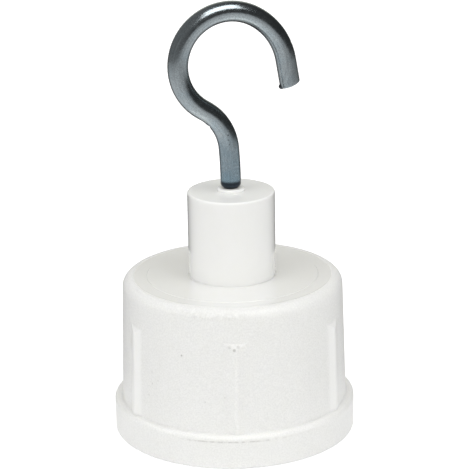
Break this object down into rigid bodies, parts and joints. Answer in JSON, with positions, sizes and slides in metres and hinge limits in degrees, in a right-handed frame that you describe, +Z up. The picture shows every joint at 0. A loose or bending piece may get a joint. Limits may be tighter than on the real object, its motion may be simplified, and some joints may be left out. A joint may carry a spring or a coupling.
{
  "type": "garland hook",
  "caption": "Round screw cap in white plastic with grip ribs and a boss that carries a bent wire hook, for hanging a lampholder of a light garland.",
  "frame": {"origin": "centre of the rim's lower face, on the cap's axis", "axes": "+Z up along the cap's axis towards the hook, +X towards the hook's mouth"},
  "size_m": [0.048, 0.048, 0.0864],
  "materials": {
    "white_plastic": "fine grained wall, polished top and boss",
    "zinc_steel": "bright zinc plate"
  },
  "bodies": {
    "root": {"cap": "white_plastic", "hook": "zinc_steel"}
  },
  "joints": []
}
